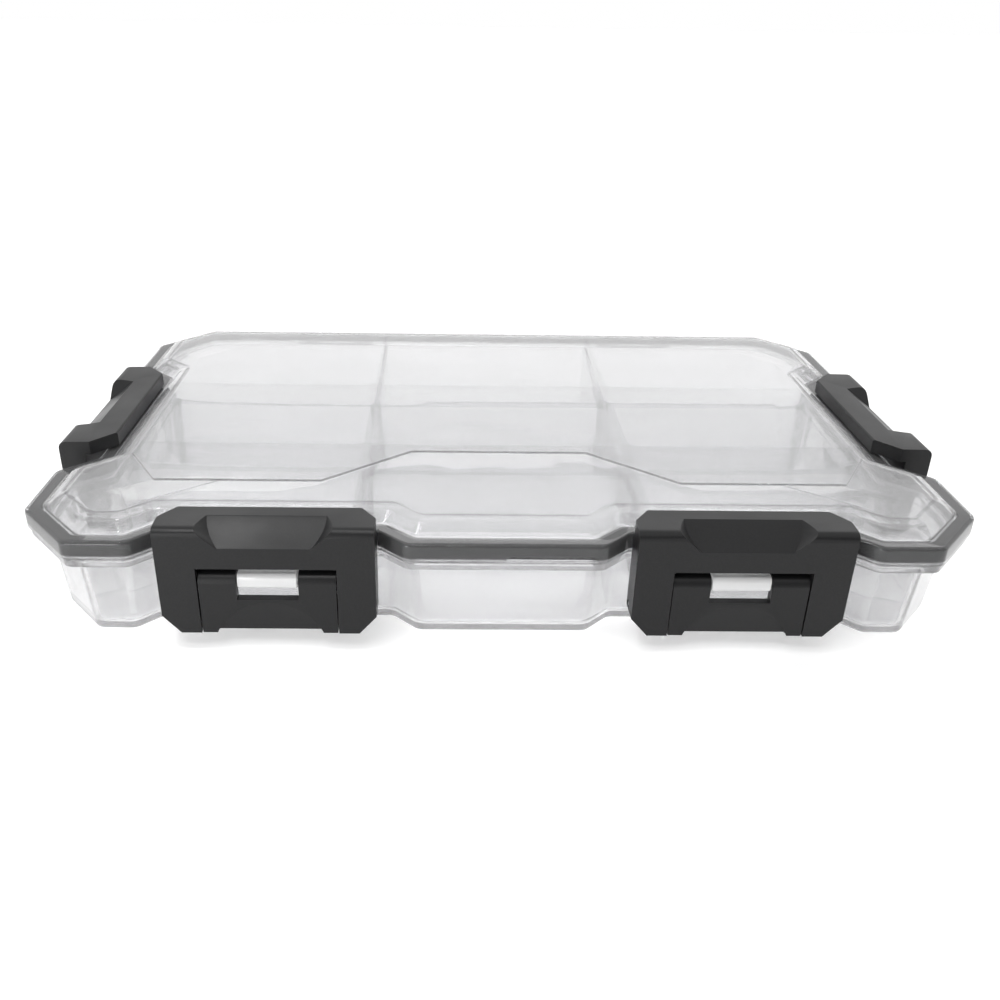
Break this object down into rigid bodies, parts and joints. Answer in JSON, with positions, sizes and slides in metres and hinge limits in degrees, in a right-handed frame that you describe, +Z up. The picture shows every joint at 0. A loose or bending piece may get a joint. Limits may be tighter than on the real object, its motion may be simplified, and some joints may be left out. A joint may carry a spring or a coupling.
{
  "type": "waterproof tackle box",
  "caption": "Clear plastic compartment box with a hinged sealed lid, raised lid panel, cross dividers and black over-centre draw latches on the front and sides.",
  "frame": {"origin": "centre of the bounding box at the bottom face, on the surface that the box stands on", "axes": "+Z up out of the tray, -Y towards the front with the two latches, +X to the right seen from the front"},
  "size_m": [0.3652, 0.2516, 0.0508],
  "materials": {
    "clear_plastic": "clear injection-moulded plastic, glossy, faintly grey, with bright edges",
    "divider_plastic": "clear injection-moulded plastic plate",
    "seal_rubber": "dark grey moulded rubber",
    "latch_plastic": "satin black moulded plastic, finely textured thumb ramp",
    "pin_steel": "drawn steel wire pin"
  },
  "bodies": {
    "tray": {"base_tray": "clear_plastic", "divider_left_front": "divider_plastic", "divider_left_rear": "divider_plastic", "divider_middle_front": "divider_plastic", "divider_middle_rear": "divider_plastic", "divider_right_front": "divider_plastic", "divider_right_rear": "divider_plastic", "hinge_pin_left": "pin_steel", "hinge_pin_right": "pin_steel", "lever_pin_front_left": "pin_steel", "lever_pin_front_right": "pin_steel", "lever_pin_side_left": "pin_steel", "lever_pin_side_right": "pin_steel"},
    "lid": {"lid": "clear_plastic", "seal_ring": "seal_rubber"},
    "lever_front_left": {"latch_lever_front_left": "latch_plastic", "frame_pin_front_left": "pin_steel"},
    "frame_front_left": {"latch_frame_front_left": "latch_plastic"},
    "lever_front_right": {"latch_lever_front_right": "latch_plastic", "frame_pin_front_right": "pin_steel"},
    "frame_front_right": {"latch_frame_front_right": "latch_plastic"},
    "lever_side_left": {"latch_lever_side_left": "latch_plastic", "frame_pin_side_left": "pin_steel"},
    "frame_side_left": {"latch_frame_side_left": "latch_plastic"},
    "lever_side_right": {"latch_lever_side_right": "latch_plastic", "frame_pin_side_right": "pin_steel"},
    "frame_side_right": {"latch_frame_side_right": "latch_plastic"}
  },
  "joints": [
    {"name": "lid_hinge", "type": "hinge", "parent": "tray", "child": "lid", "pos_m": [0, 0.1226, 0.0363], "axis": [-1, 0, 0], "range_deg": [0, 180]},
    {"name": "lever_front_left_turn", "type": "hinge", "parent": "tray", "child": "lever_front_left", "pos_m": [-0.0855, -0.1215, 0.0282], "axis": [-1, 0, 0], "range_deg": [0, 150]},
    {"name": "frame_front_left_turn", "type": "hinge", "parent": "lever_front_left", "child": "frame_front_left", "pos_m": [-0.0855, -0.1178, 0.0163], "axis": [1, 0, 0], "range_deg": [0, 180]},
    {"name": "lever_front_right_turn", "type": "hinge", "parent": "tray", "child": "lever_front_right", "pos_m": [0.0855, -0.1215, 0.0282], "axis": [-1, 0, 0], "range_deg": [0, 150]},
    {"name": "frame_front_right_turn", "type": "hinge", "parent": "lever_front_right", "child": "frame_front_right", "pos_m": [0.0855, -0.1178, 0.0163], "axis": [1, 0, 0], "range_deg": [0, 180]},
    {"name": "lever_side_left_turn", "type": "hinge", "parent": "tray", "child": "lever_side_left", "pos_m": [-0.1783, -0.0062, 0.0282], "axis": [0, 1, 0], "range_deg": [0, 150]},
    {"name": "frame_side_left_turn", "type": "hinge", "parent": "lever_side_left", "child": "frame_side_left", "pos_m": [-0.1746, -0.0062, 0.0163], "axis": [0, -1, 0], "range_deg": [0, 180]},
    {"name": "lever_side_right_turn", "type": "hinge", "parent": "tray", "child": "lever_side_right", "pos_m": [0.1783, -0.0062, 0.0282], "axis": [0, -1, 0], "range_deg": [0, 150]},
    {"name": "frame_side_right_turn", "type": "hinge", "parent": "lever_side_right", "child": "frame_side_right", "pos_m": [0.1746, -0.0062, 0.0163], "axis": [0, 1, 0], "range_deg": [0, 180]}
  ],
  "couplings": [
    {"joint": "frame_front_left_turn", "follows": "lever_front_left_turn", "ratio": 1.2},
    {"joint": "frame_front_right_turn", "follows": "lever_front_right_turn", "ratio": 1.2},
    {"joint": "frame_side_left_turn", "follows": "lever_side_left_turn", "ratio": 1.2},
    {"joint": "frame_side_right_turn", "follows": "lever_side_right_turn", "ratio": 1.2}
  ]
}
